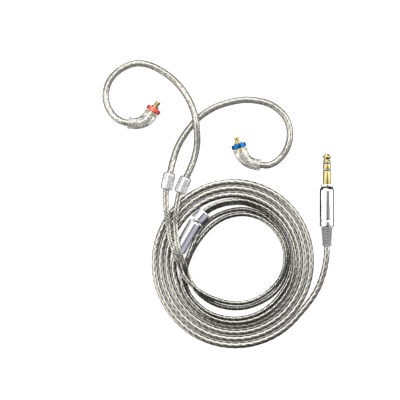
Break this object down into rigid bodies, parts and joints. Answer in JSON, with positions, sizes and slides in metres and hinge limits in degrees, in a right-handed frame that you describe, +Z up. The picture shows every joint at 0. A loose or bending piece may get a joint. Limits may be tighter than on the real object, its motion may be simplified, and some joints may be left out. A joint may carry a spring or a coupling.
{
  "type": "in-ear monitor cable",
  "caption": "Detachable in-ear monitor cable: push-fit ear connectors, clear pre-formed ear hooks, sliding chin cinch, splitter, coiled main cable and a phone plug",
  "frame": {"origin": "the middle of the coiled cable's footprint, on the surface that it lies on", "axes": "+Z up from the table; +Y from the coil towards the ear hooks, the longest way; +X to the right, where the phone plug lies"},
  "size_m": [0.0992, 0.1238, 0.0075],
  "materials": {
    "silver_cable": "twisted silver-plated strands in a thin clear jacket",
    "clear_plastic": "clear glossy plastic",
    "polished_metal": "polished metal with a cool cast",
    "gold_plate": "gold plating",
    "solder": "tinned wire and solder",
    "red_anodised": "red anodised, satin gloss",
    "blue_anodised": "blue anodised, satin gloss",
    "white_plastic": "white insulator",
    "black_plastic": "black insulator",
    "grey_silicone": "dark grey silicone"
  },
  "bodies": {
    "root": {"main_cable_start": "silver_cable", "main_cable_coil": "silver_cable", "main_cable_tail": "silver_cable", "left_ear_hook_tube": "clear_plastic", "left_ear_hook_wire": "silver_cable", "left_lead": "silver_cable", "left_colour_ring": "blue_anodised", "left_connector_body": "gold_plate", "left_insulator": "white_plastic", "left_centre_contact": "gold_plate", "left_soldered_tail": "solder", "left_connector_housing": "clear_plastic", "left_bead": "clear_plastic", "right_ear_hook_tube": "clear_plastic", "right_ear_hook_wire": "silver_cable", "right_lead": "silver_cable", "right_colour_ring": "red_anodised", "right_connector_body": "gold_plate", "right_insulator": "white_plastic", "right_centre_contact": "gold_plate", "right_soldered_tail": "solder", "right_connector_housing": "clear_plastic", "right_bead": "clear_plastic", "splitter_shell": "polished_metal", "splitter_bush": "grey_silicone", "splitter_grommet": "grey_silicone", "wire_splice": "solder", "plug_strain_relief": "grey_silicone", "plug_shell": "polished_metal", "plug_core": "white_plastic", "plug_front_collar": "polished_metal", "plug_sleeve_contact": "gold_plate", "plug_rear_insulator": "black_plastic", "plug_ring_contact": "gold_plate", "plug_front_insulator": "black_plastic", "plug_tip_contact": "gold_plate"},
    "chin_slider": {"chin_slider_shell": "polished_metal", "chin_slider_liner": "grey_silicone"},
    "left_spring_ring": {"left_snap_ring": "gold_plate"},
    "right_spring_ring": {"right_snap_ring": "gold_plate"}
  },
  "joints": [
    {"name": "chin_slider_slide", "type": "hinge", "parent": "root", "child": "chin_slider", "pos_m": [0.00648, -0.01873, 0.00424], "axis": [0, 0, 1], "range_deg": [-24, 0]},
    {"name": "left_spring_ring_turn", "type": "hinge", "parent": "root", "child": "left_spring_ring", "pos_m": [0.00803, 0.02739, 0.00317], "axis": [-0.3099, 0.9508, 0], "continuous": true},
    {"name": "right_spring_ring_turn", "type": "hinge", "parent": "root", "child": "right_spring_ring", "pos_m": [-0.02639, 0.04268, 0.00317], "axis": [0.5288, 0.8487, 0], "continuous": true}
  ]
}
